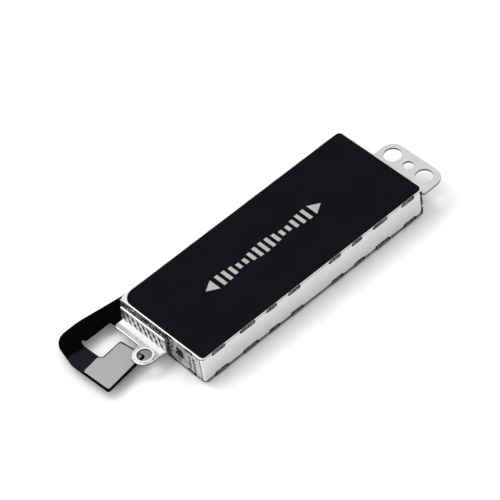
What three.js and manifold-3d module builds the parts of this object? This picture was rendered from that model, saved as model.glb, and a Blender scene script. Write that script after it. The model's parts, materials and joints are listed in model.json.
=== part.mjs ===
// Linear resonant haptic actuator: a sprung magnet-and-tungsten mass slides along X inside a flat
// welded steel casing, driven by two flat coils, with a flexible circuit tail and two screw brackets.
// Millimetres, +Z up. Origin: centre of the casing's underside. +X points to the two-hole tab.
import * as THREE from 'three';
import { mergeVertices } from 'three/addons/utils/BufferGeometryUtils.js';
import Module from 'manifold-3d';

const wasm = await Module();
wasm.setup();

// ---------------------------------------------------------------- driving dimensions
const CASE = { length: 30, width: 12, height: 3.5, corner: 0.5, wall: 0.4, cover: 0.2 };
const CASE_X = CASE.length / 2;
const CASE_Y = CASE.width / 2;
CASE.bottomInset = 0.02; // the bottom cover sits just inside the outline of the walls
CASE.footR = 0.45; // the near wall's rounded lower corner
// Open seams between the casing's sheets, and how far the right wall's end stands back from the near face.
const SEAM = { top: 0.04, bottom: 0.15, corner: 0.1, recess: 0.25 };
const FIT = 0.02; // clearance between pieces that seat on each other
// How far a cover's tab reaches into a wall, and the slit round it.
const WELD_TAB = { depth: 0.21, gap: 0.1 };
// Weld tabs, mirrored about the casing's middle: distance of a tab's middle from it, and half width.
const LONG_SIDE_TABS = [[2.75, 0.7], [5.8, 0.58], [9.0, 0.88], [12.85, 0.75]];
const END_TABS = [[1.25, 0.38], [4.05, 0.42]];

const LABEL = { thick: 0.05, inset: 0.14, nearInset: 0.03, corner: 0.5, bigCorner: 1.35 };

const TAB_PLATE = { top: 2.6, thick: 0.25, x: 16.8, y: -2.02, spacing: 4.47, bigR: 0.95, smallR: 0.56 };
TAB_PLATE.edgeX = 18.28;
TAB_PLATE.yNear = -CASE_Y;
TAB_PLATE.yFar = 1.72;
TAB_PLATE.cornerR = 1.45;

const EYELET = { x: -17.26, y: 0.2, r: 1.23, holeR: 0.78, rim: 0.2, rimHeight: 0.06 };
const BRACKET = { outer: -15.62, thick: 0.17, yNear: -1.1, yFar: 5.25, top: 3.22, flangeTop: 1.42 };
BRACKET.flangeX = -16.78;
BRACKET.notchY = 1.5; // where the flange steps out to the eyelet
BRACKET.filletR = 0.42;
const LAP = { yNear: -1.2, yFar: 5.25, bottom: 0.95, top: 3.0 };

const SEAL = { y: -2.5, z: 1.92, width: 1.15, height: 1.25, corner: 0.3 };

// Flexible circuit: a flat strip leaves the far wall, turns round a corner and ends under the pad.
const FLEX = { thick: 0.12, z: 0.8, inner: 6.28, rootX: [-13.2, -10.9] };
FLEX.relief = { depth: 0.34, width: 0.34 }; // the slot at the inner corner that stops the film tearing
FLEX.top = FLEX.z + FLEX.thick;
FLEX.lobe = { x: [-16.4, -15.12], y: 5.45 }; // the strip widens under the eyelet bracket's far end
// The strip's outer edge from its root to the pad: corners as [x, y, radius].
const FLEX_OUTER = [[-10.9, 7.75, 0], [-13.6, 8.02, 2], [-18.6, 8.74, 8], [-21.72, 8.68, 1.9],
  [-22.66, 4.9, 3]];
const NECK = { inner: -20.1, padY: 3.3 };
// The stiffened pad at the strip's end, corners as [x, y, radius], and how far the film shows round it.
const PAD_CORNERS = [[-22.4, 3.4, 0.15], [-22.27, -0.12, 0.25], [-17.2, 0.6, 0.25], [-17.55, 3.5, 0.3],
  [-19.93, 3.22, 0.3], [-20.38, 3.7, 0.12]];
const PAD = { thick: 0.13, rim: 0.2, x: -19.85, y: 1.85, turn: THREE.MathUtils.degToRad(7) };
const PLUG = { length: 3.6, width: 2.1, bottom: 0.1, wall: 0.4, socketDepth: 0.42, tongue: 0.3 };

const CIRCUIT = { z: 0.24, thick: 0.12, x: 8, y: 4.2 };
const COIL = { x: 3.75, length: 7, width: 8.4, leg: 2.2, z: 0.38, height: 0.7, corner: 1.6 };

const MASS = { x: 12.5, y: 5.15, wall: 0.35, bottom: 1.28, top: 3.0 };
const WEIGHT = { inner: 8.0, outer: 12.1, y: 4.75, bottom: 0.55, footInner: 8.5, footX: 13.3, footY: 4.3 };
WEIGHT.bodyBottom = COIL.z + COIL.height + 0.07; // the body passes over the coils, the foot beside them
WEIGHT.footTop = WEIGHT.bodyBottom + 0.06;
const MAGNET = { y: 4.2, bottom: 1.3, top: 2.62 };
// Poles and their in-between magnets along X: name, middle, length.
const MAGNET_ROW = [
  ['magnet_left_pole', -6.05, 2.6],
  ['magnet_left_transition', -3.66, 2.06],
  ['magnet_center_pole', 0, 5.14],
  ['magnet_right_transition', 3.66, 2.06],
  ['magnet_right_pole', 6.05, 2.6],
];
const IRON = { x: 7.35, y: 4.5, bottom: 2.66, thick: 0.3 };

const SPRING = { wallX: 14.4, massX: 12.66, flatY: 5.1, bendY: 3.7, hairpinY: 4.6, thick: 0.14 };
SPRING.bottom = 1.4;
SPRING.top = 2.85;
const CLAMP = { thick: 0.22, gap: 0.02, from: 3.85, to: 5.05, bottom: 1.5, top: 2.75 };
const BUMPER = { thick: 0.28, width: 1.6, y: 2.4, bottom: 0.4, top: 1.1 };

// ---------------------------------------------------------------- materials
const finish = (color, roughness, metalness) => ({ color, roughness, metalness });
const FINISH = {
  steel: finish(0xd6d7d9, 0.28, 1),
  bracketSteel: finish(0xdcdde0, 0.35, 1),
  springSteel: finish(0xb9bbc0, 0.3, 1),
  label: finish(0x16171b, 0.42, 0),
  resin: finish(0x6d4727, 0.35, 0),
  flex: finish(0x0b0b0d, 0.6, 0),
  stiffener: finish(0xb4b5b7, 0.5, 0.3),
  plug: finish(0x1a1a1c, 0.5, 0),
  copper: finish(0xb06a3a, 0.35, 1),
  chip: finish(0x202124, 0.5, 0),
  ceramic: finish(0x9c8a6c, 0.5, 0),
  tungsten: finish(0x6e7075, 0.45, 1),
  magnet: finish(0xa9adb3, 0.25, 1),
  iron: finish(0x8a8c90, 0.4, 1),
  rubber: finish(0x2a2a2c, 0.8, 0),
};

// ---------------------------------------------------------------- solids
function solid(geometry) {
  const bare = geometry.clone();
  bare.deleteAttribute('normal');
  bare.deleteAttribute('uv');
  const merged = mergeVertices(bare, 1e-5);
  const vertProperties = new Float32Array(merged.attributes.position.array);
  const triVerts = new Uint32Array(merged.index.array);
  return new wasm.Manifold(new wasm.Mesh({ numProp: 3, vertProperties, triVerts }));
}

function geometryOf(manifold) {
  const mesh = manifold.getMesh();
  const geometry = new THREE.BufferGeometry();
  geometry.setAttribute('position', new THREE.BufferAttribute(new Float32Array(mesh.vertProperties), 3));
  geometry.setIndex(new THREE.BufferAttribute(new Uint32Array(mesh.triVerts), 1));
  geometry.computeVertexNormals();
  return geometry;
}

// A box from its lowest to its highest corner.
function block(x0, x1, y0, y1, z0, z1) {
  const box = new THREE.BoxGeometry(x1 - x0, y1 - y0, z1 - z0);
  box.translate((x0 + x1) / 2, (y0 + y1) / 2, (z0 + z1) / 2);
  return solid(box);
}

// A flat outline in X and Y, made thick from z0 to z1.
function plate(shape, z0, z1, curveSegments = 6) {
  const extruded = new THREE.ExtrudeGeometry(shape, { depth: z1 - z0, bevelEnabled: false, curveSegments });
  extruded.translate(0, 0, z0);
  return solid(extruded);
}

// An outline in X and Z, made thick from y0 to y1.
function uprightPlate(shape, y0, y1) {
  const depth = y1 - y0;
  const extruded = new THREE.ExtrudeGeometry(shape, { depth, bevelEnabled: false, curveSegments: 6 });
  extruded.rotateX(Math.PI / 2);
  extruded.translate(0, y1, 0);
  return solid(extruded);
}

// A closed outline from its corners, each [x, y, radius].
function outlineOf(corners) {
  const shape = new THREE.Shape();
  const place = (index) => {
    const [x, y] = corners[(index + corners.length) % corners.length];
    return new THREE.Vector2(x, y);
  };
  corners.forEach(([x, y, radius], index) => {
    const corner = new THREE.Vector2(x, y);
    const before = place(index - 1).sub(corner).normalize();
    const after = place(index + 1).sub(corner).normalize();
    const half = before.angleTo(after) / 2;
    const start = corner.clone().addScaledVector(before, radius / Math.tan(half));
    const end = corner.clone().addScaledVector(after, radius / Math.tan(half));
    if (index === 0) shape.moveTo(start.x, start.y);
    else shape.lineTo(start.x, start.y);
    if (radius === 0) return;
    const middle = before.clone().add(after).normalize();
    const centre = corner.clone().addScaledVector(middle, radius / Math.sin(half));
    const startAngle = start.sub(centre).angle();
    const endAngle = end.sub(centre).angle();
    shape.absarc(centre.x, centre.y, radius, startAngle, endAngle, before.cross(after) > 0);
  });
  return shape;
}

// A rectangle with one radius for all its corners, or four: near left, near right, far right, far left.
function rounded(x0, x1, y0, y1, radius) {
  const radii = Array.isArray(radius) ? radius : Array(4).fill(radius);
  return outlineOf([[x0, y0, radii[0]], [x1, y0, radii[1]], [x1, y1, radii[2]], [x0, y1, radii[3]]]);
}

function disc(x, y, r, z0, z1, segments = 44) {
  const cylinder = new THREE.CylinderGeometry(r, r, z1 - z0, segments);
  cylinder.rotateX(Math.PI / 2);
  cylinder.translate(x, y, (z0 + z1) / 2);
  return solid(cylinder);
}

const group = new THREE.Group();
group.name = 'haptic_actuator';

function add(name, manifold, look) {
  const mesh = new THREE.Mesh(geometryOf(manifold), new THREE.MeshStandardMaterial(look));
  mesh.name = name;
  group.add(mesh);
}

// ---------------------------------------------------------------- casing
// Every weld tab's box between two heights, grown sideways by `gap` and through the wall by `reach`.
function weldTabs(gap, reach, z0, z1) {
  const boxes = [];
  const innerY = CASE_Y - CASE.wall - reach;
  const innerX = CASE_X - CASE.wall - reach;
  for (const side of [-1, 1]) {
    for (const [distance, halfWidth] of LONG_SIDE_TABS) {
      const middle = side * distance;
      const half = halfWidth + gap;
      boxes.push(block(middle - half, middle + half, innerY, CASE_Y + reach, z0, z1));
      boxes.push(block(middle - half, middle + half, -CASE_Y - reach, -innerY, z0, z1));
    }
    for (const [distance, halfWidth] of END_TABS) {
      const middle = side * distance;
      const half = halfWidth + gap;
      boxes.push(block(innerX, CASE_X + reach, middle - half, middle + half, z0, z1));
      boxes.push(block(-CASE_X - reach, -innerX, middle - half, middle + half, z0, z1));
    }
  }
  return wasm.Manifold.union(boxes);
}

const coverOutline = rounded(-CASE_X, CASE_X, -CASE_Y, CASE_Y, CASE.corner);
const underTop = CASE.height - CASE.cover;
const insetX = CASE_X - CASE.bottomInset;
const insetY = CASE_Y - CASE.bottomInset;
add('bottom_cover', plate(rounded(-insetX, insetX, -insetY, insetY, CASE.corner), 0, CASE.cover)
  .add(weldTabs(0, 0, 0, CASE.cover + WELD_TAB.depth)), FINISH.steel);
add('top_cover', plate(coverOutline, underTop, CASE.height)
  .add(weldTabs(0, 0, underTop - WELD_TAB.depth, underTop + CASE.cover / 2)), FINISH.steel);

// The four walls overlap like a pinwheel, so one edge of each shows beside an open corner seam.
const notchDepth = WELD_TAB.depth + WELD_TAB.gap;
const notches = weldTabs(WELD_TAB.gap, 0.2, 0, CASE.cover + notchDepth)
  .add(weldTabs(WELD_TAB.gap, 0.2, underTop - notchDepth, CASE.height));
const wallBottom = CASE.cover + SEAM.bottom;
const wallTop = underTop - SEAM.top;
const sideX = CASE_X - CASE.wall - SEAM.corner;
const sideY = CASE_Y - CASE.wall;
const flexExit = block(FLEX.rootX[0] - 0.15, FLEX.rootX[1] + 0.15, sideY - 1, CASE_Y + 1, FLEX.z - 0.12,
  FLEX.top + 0.12);
const nearOutline = rounded(-CASE_X, sideX, wallBottom, wallTop, [0, CASE.footR, 0, 0]);
const nearWall = uprightPlate(nearOutline, -CASE_Y, -sideY);
const farWall = block(-sideX, CASE_X, sideY, CASE_Y, wallBottom, wallTop);
const leftWall = block(-CASE_X, -CASE_X + CASE.wall, -sideY + SEAM.corner, CASE_Y, wallBottom, wallTop);
const rightWall = block(CASE_X - CASE.wall, CASE_X, -CASE_Y + SEAM.recess, sideY - SEAM.corner, wallBottom,
  wallTop);
add('near_wall', nearWall.subtract(notches), FINISH.steel);
add('far_wall', farWall.subtract(notches).subtract(flexExit), FINISH.steel);
add('left_end_wall', leftWall.subtract(notches).subtract(sealShape(0, 1)), FINISH.steel);
add('right_end_wall', rightWall.subtract(notches), FINISH.steel);

// The resin plug that closes the lead exit in the left end wall, shrunk by `clearance`.
function sealShape(clearance, overrun) {
  const half = SEAL.width / 2 - clearance;
  const halfHeight = SEAL.height / 2 - clearance;
  const outline = rounded(-half, half, -halfHeight, halfHeight, SEAL.corner);
  const depth = CASE.wall + 2 * overrun;
  const geometry = new THREE.ExtrudeGeometry(outline, { depth, bevelEnabled: false, curveSegments: 4 });
  geometry.rotateX(Math.PI / 2); // outline's second axis becomes Z
  geometry.rotateZ(Math.PI / 2); // and its first becomes Y
  geometry.translate(-CASE_X - overrun, SEAL.y, SEAL.z);
  return solid(geometry);
}
add('lead_exit_seal', sealShape(FIT, 0), FINISH.resin);

const labelOutline = rounded(-CASE_X + LABEL.inset, CASE_X - LABEL.inset, -CASE_Y + LABEL.nearInset,
  CASE_Y - LABEL.inset, [LABEL.corner, LABEL.corner, LABEL.corner, LABEL.bigCorner]);
const labelBottom = CASE.height + FIT;
add('top_label', plate(labelOutline, labelBottom, labelBottom + LABEL.thick), FINISH.label);

// ---------------------------------------------------------------- brackets
function twoHoleTab() {
  const { top, thick, x, y, spacing, bigR, smallR, edgeX, yNear, yFar, cornerR } = TAB_PLATE;
  const wallX = CASE_X + FIT;
  const flange = plate(rounded(wallX, edgeX, yNear, yFar, [0, cornerR, cornerR, 0]), top - thick, top, 8);
  const leg = block(wallX, wallX + thick, yNear + 0.6, yFar - 0.6, 0.7, top - thick / 2);
  const holes = [disc(x, y - spacing / 2, bigR, 0, top + 1), disc(x, y + spacing / 2, bigR, 0, top + 1),
    disc(x, y, smallR, 0, top + 1, 36)];
  return flange.add(leg).subtract(wasm.Manifold.union(holes));
}
add('two_hole_tab', twoHoleTab(), FINISH.bracketSteel);

function eyeletBracket() {
  const { outer, thick, yNear, yFar, top, flangeTop, flangeX, notchY, filletR } = BRACKET;
  const inner = outer + thick;
  const bottom = flangeTop - thick;
  const leg = block(outer, inner, yNear, yFar, bottom, top);
  const flange = plate(outlineOf([
    [inner, yFar, 0], [flangeX, yFar, 0.45], [flangeX, notchY, filletR],
    [EYELET.x - 0.1, EYELET.y + EYELET.r - 0.05, 0], [EYELET.x, EYELET.y - EYELET.r, 0], [inner, yNear, 0],
  ]), bottom, flangeTop);
  const eye = disc(EYELET.x, EYELET.y, EYELET.r, bottom, flangeTop, 56);
  const rim = disc(EYELET.x, EYELET.y, EYELET.holeR + EYELET.rim, bottom, flangeTop + EYELET.rimHeight);
  const hole = disc(EYELET.x, EYELET.y, EYELET.holeR, 0, flangeTop + 1);
  return flange.add(leg).add(eye).add(rim).subtract(hole);
}
add('eyelet_bracket', eyeletBracket(), FINISH.bracketSteel);

const lapOuter = BRACKET.outer + BRACKET.thick + FIT;
add('bracket_lap_plate', block(lapOuter, -CASE_X - FIT, LAP.yNear, LAP.yFar, LAP.bottom, LAP.top),
  FINISH.steel);

// ---------------------------------------------------------------- flexible circuit and connector
// The pad's outline, pushed out by `grow` from its middle.
function padOutline(grow) {
  const middle = new THREE.Vector2(PAD.x, PAD.y);
  return outlineOf(PAD_CORNERS.map(([x, y, radius]) => {
    const corner = new THREE.Vector2(x, y);
    const out = new THREE.Vector2(Math.sign(x - middle.x), Math.sign(y - middle.y)).multiplyScalar(grow);
    corner.add(out);
    return [corner.x, corner.y, radius];
  }));
}

function flexCable() {
  const { thick, z, top, inner, rootX, relief, lobe } = FLEX;
  const rootY = CASE_Y - 0.9;
  const reliefX = NECK.inner + 0.1;
  const reliefY = inner + relief.depth;
  const strip = outlineOf([
    ...FLEX_OUTER, [FLEX_OUTER[4][0] + 0.05, NECK.padY, 0], [NECK.inner + 0.5, NECK.padY, 0],
    [NECK.inner, NECK.padY + 0.35, 0.3], [NECK.inner - 0.1, inner - 0.45, 0.9], [reliefX, reliefY, 0.13],
    [reliefX + relief.width, reliefY, 0.13], [reliefX + relief.width, inner, 0.08],
    [lobe.x[0], inner, 0.2], [lobe.x[0], lobe.y, 0.15], [lobe.x[1], lobe.y, 0.1], [lobe.x[1], inner, 0.1],
    [rootX[0], inner, 0], [rootX[0], rootY, 0], [rootX[1], rootY, 0],
  ]);
  const floor = CIRCUIT.z + CIRCUIT.thick + FIT;
  const drop = block(...rootX, rootY, rootY + thick, floor, top);
  const foot = block(...rootX, rootY - 0.6, rootY + thick, floor, floor + thick);
  return plate(strip, z, top, 8).add(plate(padOutline(PAD.rim), z, top)).add(drop).add(foot);
}
add('flex_cable', flexCable(), FINISH.flex);

add('connector_stiffener', plate(padOutline(0), FLEX.top + FIT / 2, FLEX.top + FIT / 2 + PAD.thick),
  FINISH.stiffener);

// A rectangle about the pad's middle, turned with it.
function plugOutline(length, width) {
  const corners = [[-1, -1], [1, -1], [1, 1], [-1, 1]].map(([alongSign, acrossSign]) => {
    const corner = new THREE.Vector2(alongSign * length / 2, acrossSign * width / 2);
    return corner.rotateAround(new THREE.Vector2(), PAD.turn).add(new THREE.Vector2(PAD.x, PAD.y));
  });
  return outlineOf(corners.map(({ x, y }) => [x, y, 0.1]));
}

function boardConnector() {
  const { length, width, bottom, wall, socketDepth, tongue } = PLUG;
  const top = FLEX.z - FIT / 2;
  const shell = plate(plugOutline(length, width), bottom, top, 3);
  const socket = plate(plugOutline(length - 2 * wall, width - 2 * wall), -1, bottom + socketDepth, 3);
  const middle = plate(plugOutline(length - 4 * wall, tongue), bottom + 0.1, top, 3);
  return shell.subtract(socket).add(middle);
}
add('board_connector', boardConnector(), FINISH.plug);

// ---------------------------------------------------------------- stator
function baseCircuit() {
  const { z, thick, x, y } = CIRCUIT;
  const main = plate(rounded(-x, x, -y, y, 0.6), z, z + thick, 4);
  const arm = block(FLEX.rootX[0], -x + 1.5, y - 0.6, CASE_Y - 0.8, z, z + thick);
  return main.add(arm);
}
add('base_circuit', baseCircuit(), FINISH.flex);

function coil(x) {
  const { length, width, leg, z, height, corner } = COIL;
  const outer = rounded(x - length / 2, x + length / 2, -width / 2, width / 2, corner);
  const inner = rounded(x - length / 2 + leg, x + length / 2 - leg, -width / 2 + leg, width / 2 - leg, 0.4);
  return plate(outer, z, z + height).subtract(plate(inner, z - 1, z + height + 1, 4));
}
add('coil_left', coil(-COIL.x), FINISH.copper);
add('coil_right', coil(COIL.x), FINISH.copper);
add('position_sensor', block(-COIL.x - 0.5, -COIL.x + 0.5, -0.8, 0.8, COIL.z, COIL.z + 0.4), FINISH.chip);
for (const [name, y] of [['capacitor_near', -0.8], ['capacitor_far', 0.8]]) {
  add(name, block(COIL.x - 0.5, COIL.x + 0.5, y - 0.25, y + 0.25, COIL.z, COIL.z + 0.45), FINISH.ceramic);
}

// ---------------------------------------------------------------- moving mass
function massFrame() {
  const { x, y, wall, bottom, top } = MASS;
  const body = plate(rounded(-x, x, -y, y, 0.5), bottom, top, 4);
  const windowX = WEIGHT.inner - 0.35;
  const cuts = [block(-windowX, windowX, -y + wall + 0.2, y - wall - 0.2, bottom - 1, top + 1)];
  for (const side of [-1, 1]) {
    const ends = [side * (WEIGHT.inner - FIT), side * (WEIGHT.outer + FIT)].sort((a, b) => a - b);
    cuts.push(block(...ends, -WEIGHT.y - FIT, WEIGHT.y + FIT, bottom - 1, top + 1));
  }
  return body.subtract(wasm.Manifold.union(cuts));
}
add('mass_frame', massFrame(), FINISH.steel);

// A weight fills its window and has a foot that reaches out under the spring.
function weight(side) {
  const across = (a, b) => [side * a, side * b].sort((m, n) => m - n);
  const body = block(...across(WEIGHT.inner, WEIGHT.outer), -WEIGHT.y, WEIGHT.y, WEIGHT.bodyBottom,
    MASS.top - 0.03);
  const foot = block(...across(WEIGHT.footInner, WEIGHT.footX), -WEIGHT.footY, WEIGHT.footY,
    WEIGHT.bottom, WEIGHT.footTop);
  return body.add(foot);
}
add('tungsten_weight_left', weight(-1), FINISH.tungsten);
add('tungsten_weight_right', weight(1), FINISH.tungsten);

for (const [name, x, length] of MAGNET_ROW) {
  const half = length / 2;
  add(name, block(x - half, x + half, -MAGNET.y, MAGNET.y, MAGNET.bottom, MAGNET.top), FINISH.magnet);
}
const ironOutline = rounded(-IRON.x, IRON.x, -IRON.y, IRON.y, 0.4);
add('back_iron', plate(ironOutline, IRON.bottom, IRON.bottom + IRON.thick, 4), FINISH.iron);

// ---------------------------------------------------------------- springs, clamps and bumpers
// A V of leaf steel: one flat is welded to the end wall, the other to the mass, joined by a hairpin.
function leafSpring(side) {
  const { wallX, massX, flatY, bendY, hairpinY, thick, bottom, top } = SPRING;
  const middleX = (wallX + massX) / 2;
  const bendR = 0.3;
  const points = [[wallX, flatY], [wallX, bendY], [middleX + bendR, -hairpinY]];
  for (let step = 1; step < 8; step += 1) {
    const angle = (Math.PI * step) / 8;
    points.push([middleX + bendR * Math.cos(angle), -hairpinY - bendR * Math.sin(angle)]);
  }
  points.push([middleX - bendR, -hairpinY], [massX, bendY], [massX, flatY]);
  const line = points.map(([x, y]) => new THREE.Vector2(x, y));
  const offset = (index, sign) => {
    const before = line[Math.max(index - 1, 0)];
    const after = line[Math.min(index + 1, line.length - 1)];
    const along = after.clone().sub(before).normalize();
    return line[index].clone().add(new THREE.Vector2(-along.y, along.x).multiplyScalar(sign * thick / 2));
  };
  const left = line.map((point, index) => offset(index, 1));
  const right = line.map((point, index) => offset(index, -1)).reverse();
  const outline = [...left, ...right].map((point) => new THREE.Vector2(side * point.x, side * point.y));
  return plate(new THREE.Shape(outline), bottom, top);
}

// Weld plates that hold a spring's two flats, both on the inside of the V.
function clamp(side, x, direction) {
  const { thick, gap, from, to, bottom, top } = CLAMP;
  const near = side * (x + direction * (SPRING.thick / 2 + gap));
  const far = side * (x + direction * (SPRING.thick / 2 + gap + thick));
  const across = [side * from, side * to].sort((a, b) => a - b);
  return block(Math.min(near, far), Math.max(near, far), ...across, bottom, top);
}

for (const [name, side] of [['left', -1], ['right', 1]]) {
  add(`leaf_spring_${name}`, leafSpring(side), FINISH.springSteel);
  add(`wall_clamp_${name}`, clamp(side, SPRING.wallX, -1), FINISH.steel);
  add(`mass_clamp_${name}`, clamp(side, SPRING.massX, 1), FINISH.steel);
  for (const [place, y] of [['near', -BUMPER.y], ['far', BUMPER.y]]) {
    const wall = side * (CASE_X - CASE.wall - FIT);
    const face = wall - side * BUMPER.thick;
    add(`bumper_${name}_${place}`, block(Math.min(wall, face), Math.max(wall, face), y - BUMPER.width / 2,
      y + BUMPER.width / 2, BUMPER.bottom, BUMPER.top), FINISH.rubber);
  }
}

export default group;
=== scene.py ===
"""Looks of the linear haptic actuator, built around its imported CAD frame. Blender 4.5, metres, +Z up.

Mesh code works in millimetres and is scaled to metres when a piece is made.
"""
import json
import math
import random

import bmesh
import bpy
from mathutils import Matrix, Vector, noise


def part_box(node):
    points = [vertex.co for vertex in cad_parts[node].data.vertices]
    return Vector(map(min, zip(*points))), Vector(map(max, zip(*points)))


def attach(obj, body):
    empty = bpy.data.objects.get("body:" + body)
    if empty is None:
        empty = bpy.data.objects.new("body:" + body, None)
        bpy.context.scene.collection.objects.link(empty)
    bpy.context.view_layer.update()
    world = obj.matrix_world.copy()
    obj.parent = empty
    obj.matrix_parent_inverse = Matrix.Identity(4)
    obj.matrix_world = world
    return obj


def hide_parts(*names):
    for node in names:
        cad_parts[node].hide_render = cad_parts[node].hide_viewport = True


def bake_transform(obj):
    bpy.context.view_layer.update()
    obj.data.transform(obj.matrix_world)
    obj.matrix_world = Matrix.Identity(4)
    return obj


MM = 0.001
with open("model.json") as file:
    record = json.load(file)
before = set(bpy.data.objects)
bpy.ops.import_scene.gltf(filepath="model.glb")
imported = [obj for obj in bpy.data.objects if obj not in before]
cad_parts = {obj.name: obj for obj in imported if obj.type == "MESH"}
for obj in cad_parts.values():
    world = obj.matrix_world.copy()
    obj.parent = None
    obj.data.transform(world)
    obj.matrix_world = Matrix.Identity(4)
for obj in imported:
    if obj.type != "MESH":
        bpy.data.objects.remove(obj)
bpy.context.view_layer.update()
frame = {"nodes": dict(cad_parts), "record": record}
random.seed(7)
NODE_BODY = {node: body for body, nodes in frame["record"]["behaviour"]["bodies"].items() for node in nodes}
NODE_SLOT = {part["node"]: part["material_slot"] for part in frame["record"]["subparts"]}


def box_mm(node):
    """A CAD node's lowest and highest corners, in millimetres."""
    low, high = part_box(node)
    return low / MM, high / MM


# ---------------------------------------------------------------- camera and light
CAMERA_AZIMUTH = math.radians(-36.398)
CAMERA_ELEVATION = math.radians(47.397)
CAMERA_ROLL = math.radians(-9.064)
CAMERA_DISTANCE = 337.84 * MM
CAMERA_AIM = Vector((-1.192, 2.247, 1.75)) * MM
FOCAL_PIXELS = 3411.4  # focal length for a picture 500 pixels wide
SENSOR_MM = 36.0


def make_camera():
    back = Vector((math.sin(CAMERA_AZIMUTH) * math.cos(CAMERA_ELEVATION),
                   -math.cos(CAMERA_AZIMUTH) * math.cos(CAMERA_ELEVATION),
                   math.sin(CAMERA_ELEVATION)))
    level = Vector((0, 0, 1)).cross(back).normalized()
    above = back.cross(level)
    right = level * math.cos(CAMERA_ROLL) + above * math.sin(CAMERA_ROLL)
    up = back.cross(right)
    data = bpy.data.cameras.new("camera")
    data.sensor_width = SENSOR_MM
    data.lens = FOCAL_PIXELS / 500 * SENSOR_MM
    data.clip_start = 0.01
    data.clip_end = 10
    camera = bpy.data.objects.new("camera", data)
    turn = Matrix((right, up, back)).transposed().to_4x4()
    camera.matrix_world = Matrix.Translation(CAMERA_AIM + back * CAMERA_DISTANCE) @ turn
    bpy.context.scene.collection.objects.link(camera)
    bpy.context.scene.camera = camera


def area_light(name, place, size, power):
    """A soft lamp that points at the middle of the object. Millimetres and watts."""
    data = bpy.data.lights.new(name, "AREA")
    data.shape = "RECTANGLE"
    data.size, data.size_y = size[0] * MM, size[1] * MM
    data.energy = power
    lamp = bpy.data.objects.new(name, data)
    lamp.location = Vector(place) * MM
    lamp.rotation_euler = (-Vector(place)).to_track_quat("-Z", "Y").to_euler()
    bpy.context.scene.collection.objects.link(lamp)


def make_lights():
    area_light("key_light", (-60, 190, 320), (230, 190), 0.50)
    area_light("side_light", (220, 60, 320), (150, 130), 0.14)
    area_light("fill_light", (-280, 150, 230), (200, 160), 0.22)
    world = bpy.data.worlds.new("studio")
    world.use_nodes = True
    world.node_tree.nodes["Background"].inputs["Color"].default_value = (1, 1, 1, 1)
    world.node_tree.nodes["Background"].inputs["Strength"].default_value = 0.86
    bpy.context.scene.world = world
    bpy.context.scene.view_settings.view_transform = "Standard"


make_camera()
make_lights()


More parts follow.
